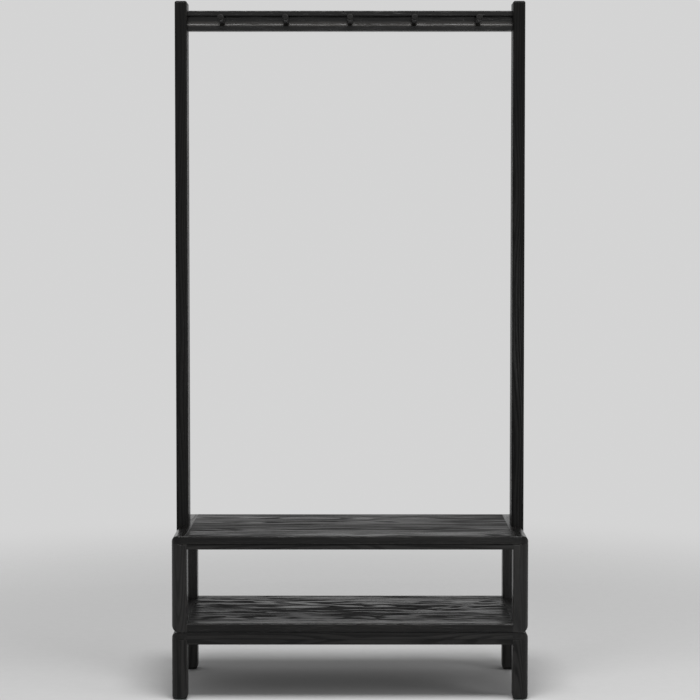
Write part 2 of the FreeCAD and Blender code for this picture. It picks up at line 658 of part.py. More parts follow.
# Loose tenons: upright ones at the legs, level ones at the ends of the rails and the shelf.
leg_joints = []
module_joints = []
rail_joints = []
shelf_joints = []
leg_tenon_drop = "(sizes.leg_tenon_length / 2 - sizes.leg_tenon_reach)"
base_rail_mid = f"({BASE_RAIL_UNDER} + sizes.base_rail_height / 2)"
seat_rail_mid = f"({SEAT_RAIL_UNDER} + sizes.seat_rail_height / 2)"
side_rail_mid = f"({SIDE_RAIL_UNDER} + sizes.side_rail_height / 2)"
shelf_mid = f"({MODULE_SEAM} + sizes.shelf_thickness / 2)"
for side_name, side in SIDES.items():
    outer_line = signed(side, f"({LEG_MID_X} + sizes.leg_tenon_offset)")
    inner_line = signed(side, f"({LEG_MID_X} - sizes.leg_tenon_offset)")
    inner_face = signed(side, LEG_INNER_X)
    leg_middle = signed(side, LEG_MID_X)
    base_side_line = signed(side, MODULE_BOLT_X)
    seat_side_line = signed(side, POST_MID_X)
    base_end = f"base_end_rail_{side_name}"
    seat_end = f"seat_end_rail_{side_name}"
    shelf_side = f"shelf_side_rail_{side_name}"
    for end_name, end in ENDS.items():
        lower = f"base_leg_{end_name}_{side_name}"
        upper = f"upper_leg_{end_name}_{side_name}"
        leg_line = signed(end, LEG_MID_Y)
        leg_face = signed(end, LEG_INNER_Y)
        base_line = signed(end, BASE_RAIL_MID_Y)
        seat_line = signed(end, RAIL_MID_Y)
        shelf_line = signed(end, f"({LEG_INNER_Y} - sizes.shelf_tenon_inset)")
        base_rise = f"({BASE_TOP_UNDER} - {leg_tenon_drop})"
        seat_rise = f"({SEAT_UNDER} - {leg_tenon_drop})"
        seam_rise = f"({MODULE_SEAM} + {leg_tenon_drop})"
        leg_joints += [
            ((outer_line, leg_line, base_rise), "z", (lower, base_end)),
            ((outer_line, leg_line, seat_rise), "z", (upper, seat_end)),
        ]
        module_joints += [((inner_line, leg_line, seam_rise), "z", (base_end, upper))]
        rail_joints += [
            ((inner_face, base_line, base_rail_mid), "x", (f"base_{end_name}_rail", lower)),
            ((inner_face, seat_line, seat_rail_mid), "x", (f"seat_{end_name}_rail", upper)),
            ((base_side_line, leg_face, base_rail_mid), "y", (f"base_side_rail_{side_name}", lower)),
            ((seat_side_line, leg_face, side_rail_mid), "y", (f"seat_side_rail_{side_name}", upper)),
        ]
        shelf_joints += [
            ((leg_middle, leg_face, shelf_mid), "y", (shelf_side, upper)),
            ((inner_face, shelf_line, shelf_mid), "x", ("shelf_panel", shelf_side)),
        ]
slip_joints("leg_tenons", "leg_tenon", leg_joints)
slip_joints("module_tenons", "leg_tenon", module_joints)
slip_joints("rail_tenons", "rail_tenon", rail_joints)
slip_joints("shelf_tenons", "rail_tenon", shelf_joints)

# Bolts: posts down to the side rails of the seat, and the bench down to the base.
post_bolt_places = []
module_bolt_places = []
for side_name, side in SIDES.items():
    module_bolt_places.append((side_name, signed(side, MODULE_BOLT_X), "0"))
    for end in ENDS.values():
        place_y = signed(end, "(sizes.post_bolt_spacing / 2)")
        post_bolt_places.append((side_name, signed(side, POST_MID_X), place_y))
bolted_joints("post", post_bolt_places, SIDE_RAIL_UNDER, POST_FOOT,
              ("seat_side_rail", "seat_end_rail"), "post")
bolted_joints("module", module_bolt_places, BASE_RAIL_UNDER, MODULE_SEAM,
              ("base_side_rail", "base_end_rail"), "shelf_side_rail")

# Felt glides under the four feet.
glides = []
for side in SIDES.values():
    for end in ENDS.values():
        glides.append(bar("glide", (signed(side, LEG_MID_X), signed(end, LEG_MID_Y), "0"), ROUND,
                          "sizes.glide_diameter / 2", "sizes.glide_thickness"))
group("floor_glides", glides)

doc.recompute()

for item in doc.Objects:
    if "Invalid" in item.State or "Error" in item.State:
        raise RuntimeError(f"{item.Label} did not build: {item.State}")
for label, piece in pieces.items():
    if piece.Shape.isNull() or not piece.Shape.isValid():
        raise RuntimeError(f"{label} has no valid shape")

os.makedirs("parts", exist_ok=True)
for label, piece in pieces.items():
    piece.Shape.exportStep(f"parts/{label}.step")
print(f"{len(pieces)} pieces, {sum(len(piece.Shape.Solids) for piece in pieces.values())} solids")
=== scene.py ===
"""Hall bench with a coat rack in black-stained oak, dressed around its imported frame.

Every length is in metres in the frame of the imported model: +Z up, the front faces -Y.
"""

import logging
import math
from abc import ABC, abstractmethod
from dataclasses import dataclass
from enum import Enum
from typing import Union

import bpy
from mathutils import Euler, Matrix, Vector


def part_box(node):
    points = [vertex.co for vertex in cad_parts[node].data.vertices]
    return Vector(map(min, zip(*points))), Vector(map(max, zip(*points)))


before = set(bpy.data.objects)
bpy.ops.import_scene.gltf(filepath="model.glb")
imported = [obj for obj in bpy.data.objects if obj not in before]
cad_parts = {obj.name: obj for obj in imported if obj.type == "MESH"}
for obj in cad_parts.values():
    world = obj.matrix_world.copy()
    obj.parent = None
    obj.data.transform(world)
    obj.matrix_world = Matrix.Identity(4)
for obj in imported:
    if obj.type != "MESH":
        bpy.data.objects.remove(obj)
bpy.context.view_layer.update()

LOG = logging.getLogger("hall_bench_rack")

AXES = "xyz"
SIDES = ("left", "right")
ENDS = ("front", "back")
INNER_FACE = {"left": "+x", "right": "-x"}
BOTH_ENDS = ("-x", "+x")

Pair = tuple[float, float]
Triple = tuple[float, float, float]
Colour = tuple[float, float, float]
Socket = bpy.types.NodeSocket
Feed = Union[float, Socket]

RISE: Pair = (0.0, 1.0)
FALL: Pair = (1.0, 0.0)
BLACK: Colour = (0.0, 0.0, 0.0)


class Grain(Enum):
    """Which axes of the frame are a board's length, face width and depth, in that order."""

    PANEL = "xyz"
    RAIL = "xzy"
    CROSS = "yxz"
    UPRIGHT = "zxy"
    PEG = "yzx"


class Seam(Enum):
    """Which edge of a board lies in a seam, where it is never rubbed and its colour gets painted
    shade.
    """

    NONE = "none"
    BELOW = "below"
    ABOVE = "above"


@dataclass(frozen=True)
class Pattern:
    """A smooth noise, which may be drawn out along an axis.

    Fields:
        per_metre: Its waves per metre along each axis.
        detail: How many finer layers it has.
        rough: How strong the finer layers are.
        span: The stretch of its values that leads from none to all.
    """

    per_metre: Triple
    detail: float = 2.0
    rough: float = 0.5
    span: Pair = (0.3, 0.7)


class NodeSheet:
    """A small builder for one shader node tree."""

    def __init__(self, tree: bpy.types.NodeTree) -> None:
        """Takes the tree and empties it.

        Args:
            tree: The node tree of a material or a world.
        """
        self.tree = tree
        tree.nodes.clear()

    def add(self, kind: str, **settings: object) -> bpy.types.Node:
        """Adds a node.

        Args:
            kind: The node's Blender type name.
            **settings: Properties to set on it.

        Returns:
            The new node.
        """
        node = self.tree.nodes.new(kind)
        for name, value in settings.items():
            setattr(node, name, value)
        return node

    def feed(self, socket: Socket, value: object) -> None:
        """Links a socket to another, or sets its value.

        Args:
            socket: The input to fill.
            value: An output socket, or a plain value.
        """
        if isinstance(value, Socket):
            self.tree.links.new(value, socket)
        else:
            socket.default_value = value

    def point(self) -> Socket:
        """Reads the point of the surface, in the frame."""
        return self.add("ShaderNodeTexCoord").outputs["Object"]

    def math(self, operation: str, first: Feed, second: Feed = 0.0, clamp: bool = False) -> Socket:
        """Adds a Math node.

        Args:
            operation: Its operation, such as "MAXIMUM".
            first: The first value.
            second: The second value, where the operation has one.
            clamp: Whether the result stays between 0 and 1.

        Returns:
            Its output.
        """
        node = self.add("ShaderNodeMath", operation=operation, use_clamp=clamp)
        self.feed(node.inputs[0], first)
        self.feed(node.inputs[1], second)
        return node.outputs[0]

    def plus(self, first: Feed, second: Feed) -> Socket:
        """Adds two values up."""
        return self.math("ADD", first, second)

    def minus(self, first: Feed, second: Feed) -> Socket:
        """Takes the second value from the first."""
        return self.math("SUBTRACT", first, second)

    def times(self, first: Feed, second: Feed) -> Socket:
        """Multiplies two values."""
        return self.math("MULTIPLY", first, second)

    def vector(self, operation: str, first: Socket, second: Triple) -> Socket:
        """Adds a Vector Math node whose result is a vector.

        Args:
            operation: Its operation, such as "MULTIPLY".
            first: The first vector's socket.
            second: The second vector.

        Returns:
            Its vector output.
        """
        node = self.add("ShaderNodeVectorMath", operation=operation)
        self.feed(node.inputs[0], first)
        self.feed(node.inputs[1], second)
        return node.outputs[0]

    def split(self, vector: Socket) -> dict[str, Socket]:
        """Takes a vector apart.

        Args:
            vector: The vector's socket.

        Returns:
            Its three values by the letters x, y and z.
        """
        node = self.add("ShaderNodeSeparateXYZ")
        self.feed(node.inputs[0], vector)
        return dict(zip(AXES, node.outputs))

    def join(self, first: Feed, second: Feed, third: Feed) -> Socket:
        """Makes a vector of three values.

        Args:
            first: The X value.
            second: The Y value.
            third: The Z value.

        Returns:
            The vector's socket.
        """
        node = self.add("ShaderNodeCombineXYZ")
        for socket, value in zip(node.inputs, (first, second, third)):
            self.feed(socket, value)
        return node.outputs[0]

    def noise(self, point: Socket, pattern: Pattern) -> Socket:
        """Reads a pattern at a point.

        Args:
            point: The point.
            pattern: The pattern.

        Returns:
            Its plain value, from about 0 to 1.
        """
        node = self.add("ShaderNodeTexNoise", noise_dimensions="3D")
        self.feed(node.inputs["Vector"], self.vector("MULTIPLY", point, pattern.per_metre))
        node.inputs["Scale"].default_value = 1.0
        node.inputs["Detail"].default_value = pattern.detail
        node.inputs["Roughness"].default_value = pattern.rough
        return node.outputs[0]

    def ramp(self, value: Feed, span: Pair, ends: Pair = RISE) -> Socket:
        """Maps a value smoothly from one range to another, held at the ends.

        Args:
            value: The value to map.
            span: Where the change begins and where it is complete.
            ends: The results before and after the change.

        Returns:
            The mapped value.
        """
        node = self.add("ShaderNodeMapRange", interpolation_type="SMOOTHSTEP", clamp=True)
        for socket, item in zip(node.inputs, (value, *span, *ends)):
            self.feed(socket, item)
        return node.outputs[0]

    def share(self, point: Socket, pattern: Pattern, ends: Pair = RISE) -> Socket:
        """Reads a pattern at a point, mapped over its span to the two ends."""
        return self.ramp(self.noise(point, pattern), pattern.span, ends)

    def blend(self, factor: Feed, first: object, second: object, mode: str = "MIX") -> Socket:
        """Mixes two colours.

        Args:
            factor: The share of the second.
            first: A colour or its socket.
            second: A colour or its socket.
            mode: The way of mixing.

        Returns:
            The mixed colour.
        """
        node = self.add("ShaderNodeMix", data_type="RGBA", blend_type=mode)
        self.feed(node.inputs["Factor"], factor)
        for socket, value in ((node.inputs[6], first), (node.inputs[7], second)):
            self.feed(socket, (*value, 1.0) if isinstance(value, tuple) else value)
        return node.outputs[2]

    def toned(self, colour: object, tone: Socket) -> Socket:
        """Lightens or darkens a colour by a factor."""
        return self.blend(1.0, colour, self.join(tone, tone, tone), "MULTIPLY")

    def bump(self, height: Socket, strength: float, distance: float = 1.0) -> Socket:
        """Turns a height into a normal.

        Args:
            height: The height.
            strength: How much of it counts.
            distance: The length of a height of 1.

        Returns:
            The normal.
        """
        node = self.add("ShaderNodeBump")
        node.inputs["Strength"].default_value = strength
        node.inputs["Distance"].default_value = distance
        self.feed(node.inputs["Height"], height)
        return node.outputs[0]


def new_material(name: str) -> tuple[bpy.types.Material, NodeSheet]:
    """Makes a material with an empty node tree.

    Args:
        name: The material's name.

    Returns:
        The material and the builder of its tree.
    """
    material = bpy.data.materials.new(name)
    material.use_nodes = True
    return material, NodeSheet(material.node_tree)


def close_shader(sheet: NodeSheet, **constants: object) -> bpy.types.Node:
    """Adds the surface shader and the output of a material.

    Args:
        sheet: The builder of the material's tree.
        **constants: Plain values for the shader's sockets, with _ for a blank in a socket's name.

    Returns:
        The surface shader, whose other sockets are still free.
    """
    shader = sheet.add("ShaderNodeBsdfPrincipled")
    for name, value in constants.items():
        shader.inputs[name.replace("_", " ")].default_value = value
    output = sheet.add("ShaderNodeOutputMaterial")
    sheet.feed(output.inputs["Surface"], shader.outputs[0])
    return shader


def paint(node: str, material: bpy.types.Material) -> None:
    """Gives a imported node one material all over.

    Args:
        node: The node's name.
        material: Its finish.
    """
    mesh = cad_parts[node].data
    mesh.materials.clear()
    mesh.materials.append(material)
    LOG.info("%s: %s", node, material.name)


@dataclass(frozen=True)
class Board:
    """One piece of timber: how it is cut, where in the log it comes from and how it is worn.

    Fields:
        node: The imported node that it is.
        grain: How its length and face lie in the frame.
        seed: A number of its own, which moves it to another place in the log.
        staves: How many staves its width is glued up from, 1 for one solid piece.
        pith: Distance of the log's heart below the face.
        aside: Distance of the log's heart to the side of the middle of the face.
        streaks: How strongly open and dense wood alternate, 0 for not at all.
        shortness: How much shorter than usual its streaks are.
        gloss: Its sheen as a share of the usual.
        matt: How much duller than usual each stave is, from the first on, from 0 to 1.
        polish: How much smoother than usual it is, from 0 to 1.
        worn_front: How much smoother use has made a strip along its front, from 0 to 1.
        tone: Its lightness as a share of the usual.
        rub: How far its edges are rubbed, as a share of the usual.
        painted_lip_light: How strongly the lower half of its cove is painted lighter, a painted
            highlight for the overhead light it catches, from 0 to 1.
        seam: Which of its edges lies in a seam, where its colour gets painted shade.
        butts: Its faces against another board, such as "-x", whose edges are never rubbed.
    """

    node: str
    grain: Grain
    seed: float
    staves: int = 1
    pith: float = 0.11
    aside: float = 0.02
    streaks: float = 0.4
    shortness: float = 1.0
    gloss: float = 1.0
    matt: tuple[float, ...] = ()
    polish: float = 0.0
    worn_front: float = 0.0
    tone: float = 1.0
    rub: float = 1.0
    painted_lip_light: float = 0.0
    seam: Seam = Seam.NONE
    butts: tuple[str, ...] = ()


@dataclass(frozen=True)
class LogPlace:
    """Node sockets that say where a point of a board lies.

    Fields:
        point: The point in the frame.
        log: The same point as length, face width and depth in the log.
        duller: How much duller than usual the stave at this point is.
    """

    point: Socket
    log: Socket
    duller: Feed


@dataclass(frozen=True)
class WoodMarks:
    """Node sockets that say what the wood is like at a point, each as a share from 0 to 1.

    Fields:
        early: Open early wood.
        pores: Open pores.
        fibre: The plain value of the fibre's pattern.
        openness: Early wood and pores together.
        streak: Dull wood.
        painted_shade: Depth in a seam, as the strength of the painted shade there.
        edge: Nearness of an edge that can be rubbed.
    """

    early: Socket
    pores: Socket
    fibre: Socket
    openness: Socket
    streak: Socket
    painted_shade: Feed
    edge: Socket


@dataclass(frozen=True)
class BlackOak:
    """Oak under a black stain and a satin lacquer, with open pores and rubbed edges, with painted
    shade along seams and a painted highlight on the lower half of a rail's cove.

    The grain is a solid one: rings about the heart of a log, so that faces show arches and
    streaks and ends show curved bands. The wood's patterns are given along, across and into the
    log, and the patches of wear and of the painted cove highlight are the same in every direction.
    """

    pore_black: Colour = (0.0042, 0.0041, 0.0040)
    late_grey: Colour = (0.0125, 0.0121, 0.0117)
    # A lighter grey for rubbed edges, which on the upper legs is partly a painted highlight, and for
    # the painted highlight on the rail's cove.
    wear_and_highlight_grey: Colour = (0.034, 0.032, 0.030)
    sheen: float = 0.17

    seed_step: float = 7.31
    log_length: float = 5.0
    stave_shift: float = 3.0

    ring_spacing: float = 0.0030
    ring_opens: Pair = (0.0, 0.10)
    ring_closes: Pair = (0.28, 0.62)
    slow_wander: Pattern = Pattern((1.7, 8.0, 8.0), detail=1.0)
    slow_reach: float = 0.034
    quick_wander: Pattern = Pattern((5.0, 60.0, 60.0))
    quick_reach: float = 0.0034

    pore: Pattern = Pattern((26.0, 820.0, 820.0), detail=1.0, span=(0.53, 0.64))
    early_pores: float = 0.75
    late_pores: float = 0.25
    early_openness: float = 0.8
    fibre: Pattern = Pattern((55.0, 2100.0, 2100.0), detail=1.0)
    mottle: Pattern = Pattern((3.2, 26.0, 26.0), detail=3.0, rough=0.6)
    mottle_tone: Pair = (0.75, 1.30)

    streak: Pattern = Pattern((4.0, 85.0, 85.0), detail=3.0, rough=0.55, span=(0.34, 0.66))
    streak_share: float = 0.52
    cloud: Pattern = Pattern((1.6, 15.0, 15.0), span=(0.34, 0.66))
    cloud_share: float = 0.22
    ring_share: float = 0.26
    streak_span: Pair = (0.26, 0.70)
    usual_streak: float = 0.45
    dense_tone: float = 1.25
    streak_tone: float = 0.55

    satin: float = 0.23
    open_grain_roughness: float = 0.12
    streak_roughness: float = 0.52
    fibre_roughness: float = 0.05
    pore_depth: float = 0.00022
    ring_relief: float = 0.00012
    streak_relief: float = 0.00025
    fibre_relief: float = 0.00004
    polish_flattens: float = 0.8

    no_edge: float = 1.0
    rubbed_width: float = 0.0042
    rubbed_share: float = 0.45
    rubbed_patch: Pattern = Pattern((60.0, 60.0, 60.0), detail=3.0, span=(0.38, 0.62))
    burnish: float = 0.5
    worn_depth: Pair = (0.012, 0.075)
    # Painted shade: the depth from a seam over which the colour darkens, and its strength.
    painted_shade_depth: float = 0.007
    painted_shade_darkness: float = 0.85

    # These shape the painted highlight on the lower half of the rail's cove.
    cove_reach: Pair = (0.0138, 0.0145)
    cove_depth: Pair = (0.0095, 0.0105)
    lip_rise: Pair = (0.0, 0.0030)
    lip_inset: Pair = (0.0002, 0.0015)
    lip_patch: Pattern = Pattern((9.0, 9.0, 9.0))
    lip_share: Pair = (0.5, 1.0)

    def board_space(self, sheet: NodeSheet, board: Board) -> LogPlace:
        """Places the board in its log, and each stave in a place of its own.

        Args:
            sheet: The builder of the material's tree.
            board: The board.

        Returns:
            Where a point of the board lies.
        """
        low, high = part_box(board.node)
        width = (high - low)[AXES.index(board.grain.value[1])]
        point = sheet.point()
        parts = sheet.split(sheet.vector("SUBTRACT", point, tuple((low + high) / 2)))
        along, across, deep = (parts[letter] for letter in board.grain.value)
        along = sheet.plus(along, (board.seed * self.seed_step) % self.log_length)
        duller: Feed = 0.0
        if board.staves > 1:
            stave = width / board.staves
            from_edge = sheet.plus(across, width / 2)
            count = sheet.math("FLOOR", sheet.math("DIVIDE", from_edge, stave))
            in_stave = sheet.minus(from_edge, sheet.times(count, stave))
            chance = sheet.add("ShaderNodeTexWhiteNoise", noise_dimensions="1D")
            sheet.feed(chance.inputs["W"], sheet.plus(count, board.seed))
            shift = sheet.split(chance.outputs["Color"])
            along = sheet.plus(along, sheet.times(shift["x"], self.stave_shift))
            across = sheet.minus(in_stave, stave / 2)
            across = sheet.plus(across, sheet.times(sheet.minus(shift["y"], 0.5), stave))
            deep = sheet.plus(deep, sheet.times(shift["z"], board.pith / 2))
            for number, share in enumerate(board.matt):
                apart = sheet.math("ABSOLUTE", sheet.minus(count, number))
                here = sheet.math("LESS_THAN", apart, 0.5)
                duller = sheet.plus(duller, sheet.times(here, share))
        return LogPlace(point, sheet.join(along, across, deep), duller)

    def rings(self, sheet: NodeSheet, board: Board, log: Socket) -> Socket:
        """Growth rings about the heart of the log.

        Args:
            sheet: The builder of the material's tree.
            board: The board.
            log: The point in the log.

        Returns:
            The share of open early wood, from 0 to 1.
        """
        parts = sheet.split(log)
        across = sheet.plus(parts["y"], board.aside)
        deep = sheet.plus(parts["z"], board.pith)
        squares = sheet.plus(sheet.times(across, across), sheet.times(deep, deep))
        reach = sheet.math("SQRT", squares)
        reach = sheet.plus(reach, sheet.times(sheet.noise(log, self.slow_wander), self.slow_reach))
        reach = sheet.plus(reach, sheet.times(sheet.noise(log, self.quick_wander), self.quick_reach))
        phase = sheet.math("FRACT", sheet.math("DIVIDE", reach, self.ring_spacing))
        opening = sheet.ramp(phase, self.ring_opens)
        closing = sheet.ramp(phase, self.ring_closes, FALL)
        return sheet.times(opening, closing)

    def streaks(self, sheet: NodeSheet, board: Board, place: LogPlace, early: Socket) -> Socket:
        """Long dull and glossy streaks, where open and dense wood alternate.

        Args:
            sheet: The builder of the material's tree.
            board: The board.
            place: Where the point lies.
            early: The share of open early wood.

        Returns:
            The share of dull wood, from 0 to 1.
        """
        log = sheet.vector("MULTIPLY", place.log, (board.shortness, 1.0, 1.0))
        mixed = sheet.times(sheet.share(log, self.streak), self.streak_share)
        mixed = sheet.plus(mixed, sheet.times(sheet.share(log, self.cloud), self.cloud_share))
        mixed = sheet.plus(mixed, sheet.times(early, self.ring_share))
        streak = sheet.times(sheet.ramp(mixed, self.streak_span), board.streaks)
        streak = sheet.plus(streak, self.usual_streak * (1.0 - board.streaks))
        return sheet.math("ADD", streak, place.duller, clamp=True)

    def edge(self, sheet: NodeSheet, board: Board, point: Socket) -> Socket:
        """How near an edge of the board a point lies.

        Args:
            sheet: The builder of the material's tree.
            board: The board.
            point: The point in the frame.

        Returns:
            A share from 0, inside a face, to 1, on an edge.
        """
        low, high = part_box(board.node)
        parts = sheet.split(point)
        room: dict[str, Feed] = {}
        for letter, near, far in zip(AXES, low, high):
            room[letter] = self.no_edge
            for sign, first, second in (("-", parts[letter], near), ("+", far, parts[letter])):
                if sign + letter not in board.butts:
                    room[letter] = sheet.math("MINIMUM", room[letter], sheet.minus(first, second))
        lesser = sheet.math("MINIMUM", room["x"], room["y"])
        greater = sheet.math("MAXIMUM", room["x"], room["y"])
        second_least = sheet.math("MAXIMUM", lesser, sheet.math("MINIMUM", greater, room["z"]))
        return sheet.ramp(second_least, (0.0, self.rubbed_width), FALL)

    def painted_seam_shade(self, sheet: NodeSheet, board: Board, point: Socket) -> Feed:
        """How deep in a seam a point lies, which sets the painted shade there.

        Args:
            sheet: The builder of the material's tree.
            board: The board.
            point: The point in the frame.

        Returns:
            A share from 0, in the open, to 1, at the bottom of the seam.
        """
        if board.seam is Seam.NONE:
            return 0.0
        low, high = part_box(board.node)
        level = sheet.split(point)["z"]
        if board.seam is Seam.BELOW:
            away = sheet.minus(level, low.z)
        else:
            away = sheet.minus(high.z, level)
        return sheet.ramp(away, (0.0, self.painted_shade_depth), FALL)

    def painted_lip_highlight(self, sheet: NodeSheet, board: Board, point: Socket) -> Socket:
        """Where the lower half of a cove along the front of a rail gets a painted highlight, for the
        overhead light it catches.

        Args:
            sheet: The builder of the material's tree.
            board: The rail.
            point: The point in the frame.

        Returns:
            A share from 0 to the board's painted lip light.
        """
        low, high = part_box(board.node)
        parts = sheet.split(point)
        below = sheet.minus((low.z + high.z) / 2, parts["z"])
        inward = sheet.minus(parts["y"], low.y)
        lip = sheet.times(sheet.ramp(below, self.lip_rise), sheet.ramp(below, self.cove_reach, FALL))
        inside = sheet.times(sheet.ramp(inward, self.lip_inset),
                             sheet.ramp(inward, self.cove_depth, FALL))
        patches = sheet.share(point, self.lip_patch, self.lip_share)
        return sheet.times(sheet.times(sheet.times(lip, inside), patches), board.painted_lip_light)

    def marks(self, sheet: NodeSheet, board: Board, place: LogPlace) -> WoodMarks:
        """Draws the wood's own marks, the traces of use and the depth of the painted seam shade.

        Args:
            sheet: The builder of the material's tree.
            board: The board.
            place: Where the point lies.

        Returns:
            What the wood is like there.
        """
        early = self.rings(sheet, board, place.log)
        crowding = sheet.plus(sheet.times(early, self.early_pores), self.late_pores)
        pores = sheet.times(sheet.share(place.log, self.pore), crowding)
        # Painted shade: how deep in a seam the point lies, which darkens the colour and stops
        # rubbing.
        painted_shade = self.painted_seam_shade(sheet, board, place.point)
        return WoodMarks(
            early=early,
            pores=pores,
            fibre=sheet.noise(place.log, self.fibre),
            openness=sheet.math("MAXIMUM", sheet.times(early, self.early_openness), pores),
            streak=self.streaks(sheet, board, place, early),
            painted_shade=painted_shade,
            edge=sheet.times(self.edge(sheet, board, place.point), sheet.minus(1.0, painted_shade)),
        )

    def colour(self, sheet: NodeSheet, board: Board, place: LogPlace, marks: WoodMarks) -> Socket:
        """Stains the wood, darker in its pores and greyer where it is rubbed, with painted shade at
        seams and a painted highlight on a rail's cove.

        Args:
            sheet: The builder of the material's tree.
            board: The board.
            place: Where the point lies.
            marks: What the wood is like there.

        Returns:
            The colour.
        """
        colour = sheet.blend(marks.openness, self.late_grey, self.pore_black)
        mottle_ends = (self.mottle_tone[0] * board.tone, self.mottle_tone[1] * board.tone)
        mottle = sheet.share(place.log, self.mottle, mottle_ends)
        density = sheet.minus(self.dense_tone, sheet.times(marks.streak, self.streak_tone))
        colour = sheet.toned(colour, sheet.times(mottle, density))
        worn = sheet.times(marks.edge, sheet.share(place.point, self.rubbed_patch))
        rubbed = sheet.times(worn, self.rubbed_share * board.rub)
        colour = sheet.blend(rubbed, colour, self.wear_and_highlight_grey)
        # Painted highlight: the lower half of a rail's cove is painted lighter grey.
        if board.painted_lip_light:
            colour = sheet.blend(self.painted_lip_highlight(sheet, board, place.point), colour, self.wear_and_highlight_grey)
        # Painted shade: the colour is blackened towards a seam.
        return sheet.blend(sheet.times(marks.painted_shade, self.painted_shade_darkness), colour, BLACK)

    def roughness(self, sheet: NodeSheet, board: Board, place: LogPlace, marks: WoodMarks) -> Socket:
        """Makes the lacquer duller over open wood and smoother where it is worn.

        Args:
            sheet: The builder of the material's tree.
            board: The board.
            place: Where the point lies.
            marks: What the wood is like there.

        Returns:
            The roughness.
        """
        fibre_ends = (-self.fibre_roughness, self.fibre_roughness)
        roughness = sheet.plus(sheet.times(marks.openness, self.open_grain_roughness), self.satin)
        roughness = sheet.plus(roughness, sheet.times(marks.streak, self.streak_roughness))
        roughness = sheet.plus(roughness, sheet.ramp(marks.fibre, self.fibre.span, fibre_ends))
        smoothing = sheet.minus(1.0, sheet.times(marks.edge, self.burnish))
        smoothing = sheet.times(smoothing, 1.0 - board.polish)
        if board.worn_front:
            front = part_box(board.node)[0].y
            inward = sheet.minus(sheet.split(place.point)["y"], front)
            strip = sheet.ramp(inward, self.worn_depth, (board.worn_front, 0.0))
            smoothing = sheet.times(smoothing, sheet.minus(1.0, strip))
        return sheet.math("MULTIPLY", roughness, smoothing, clamp=True)

    def relief(self, sheet: NodeSheet, marks: WoodMarks) -> Socket:
        """Sinks the pores and the open wood.

        Args:
            sheet: The builder of the material's tree.
            marks: What the wood is like.

        Returns:
            The height of the surface.
        """
        height = sheet.times(marks.pores, -self.pore_depth)
        height = sheet.minus(height, sheet.times(marks.early, self.ring_relief))
        height = sheet.minus(height, sheet.times(marks.streak, self.streak_relief))
        return sheet.plus(height, sheet.times(marks.fibre, self.fibre_relief))

    def material(self, board: Board) -> bpy.types.Material:
        """Makes the finish for one board.

        Args:
            board: The board.

        Returns:
            A material with the board's own grain.
        """
        material, sheet = new_material(f"black_oak_{board.node}")
        place = self.board_space(sheet, board)
        marks = self.marks(sheet, board, place)
        shader = close_shader(sheet, Specular_IOR_Level=self.sheen * board.gloss)
        sheet.feed(shader.inputs["Base Color"], self.colour(sheet, board, place, marks))
        sheet.feed(shader.inputs["Roughness"], self.roughness(sheet, board, place, marks))
        strength = 1.0 - self.polish_flattens * board.polish
        sheet.feed(shader.inputs["Normal"], sheet.bump(self.relief(sheet, marks), strength))
        return material


@dataclass(frozen=True)
class BareBeech:
    """Pale sanded beech with short flecks, for the loose tenons inside the joints."""

    ground: Colour = (0.52, 0.36, 0.22)
    fleck: Colour = (0.36, 0.22, 0.12)
    flecks: Pattern = Pattern((420.0, 420.0, 900.0))
    fleck_span: Pair = (0.5, 0.68)
    roughness: Pair = (0.55, 0.70)

    def material(self) -> bpy.types.Material:
        """Makes the finish.

        Returns:
            The material.
        """
        material, sheet = new_material("bare_beech")
        flecks = sheet.noise(sheet.point(), self.flecks)
        colour = sheet.blend(sheet.ramp(flecks, self.fleck_span), self.ground, self.fleck)
        shader = close_shader(sheet)
        sheet.feed(shader.inputs["Base Color"], colour)
        sheet.feed(shader.inputs["Roughness"], sheet.ramp(flecks, self.flecks.span, self.roughness))
        return material


@dataclass(frozen=True)
class Metal:
    """A machined or plated metal with fine turning marks.

    Fields:
        name: The material's name.
        colour: Its colour.
        roughness: Its mean roughness.
        roughness_spread: How far its roughness strays from the mean.
        marks: The turning marks.
        mark_strength: How much of the marks' relief shows.
        mark_depth: The depth of the marks.
        cloud: Slightly darker patches.
        cloud_tone: The lightness of the patches and of the rest.
    """

    name: str
    colour: Colour
    roughness: float
    roughness_spread: float = 0.08
    marks: Pattern = Pattern((500.0, 500.0, 5200.0))
    mark_strength: float = 0.4
    mark_depth: float = 0.0001
    cloud: Pattern = Pattern((240.0, 240.0, 240.0))
    cloud_tone: Pair = (0.82, 1.0)

    def material(self) -> bpy.types.Material:
        """Makes the finish.

        Returns:
            The material.
        """
        material, sheet = new_material(self.name)
        point = sheet.point()
        marks = sheet.noise(point, self.marks)
        tone = sheet.share(point, self.cloud, self.cloud_tone)
        ends = (self.roughness - self.roughness_spread, self.roughness + self.roughness_spread)
        shader = close_shader(sheet, Metallic=1.0)
        sheet.feed(shader.inputs["Base Color"], sheet.toned(self.colour, tone))
        sheet.feed(shader.inputs["Roughness"], sheet.ramp(marks, self.marks.span, ends))
        sheet.feed(shader.inputs["Normal"], sheet.bump(marks, self.mark_strength, self.mark_depth))
        return material


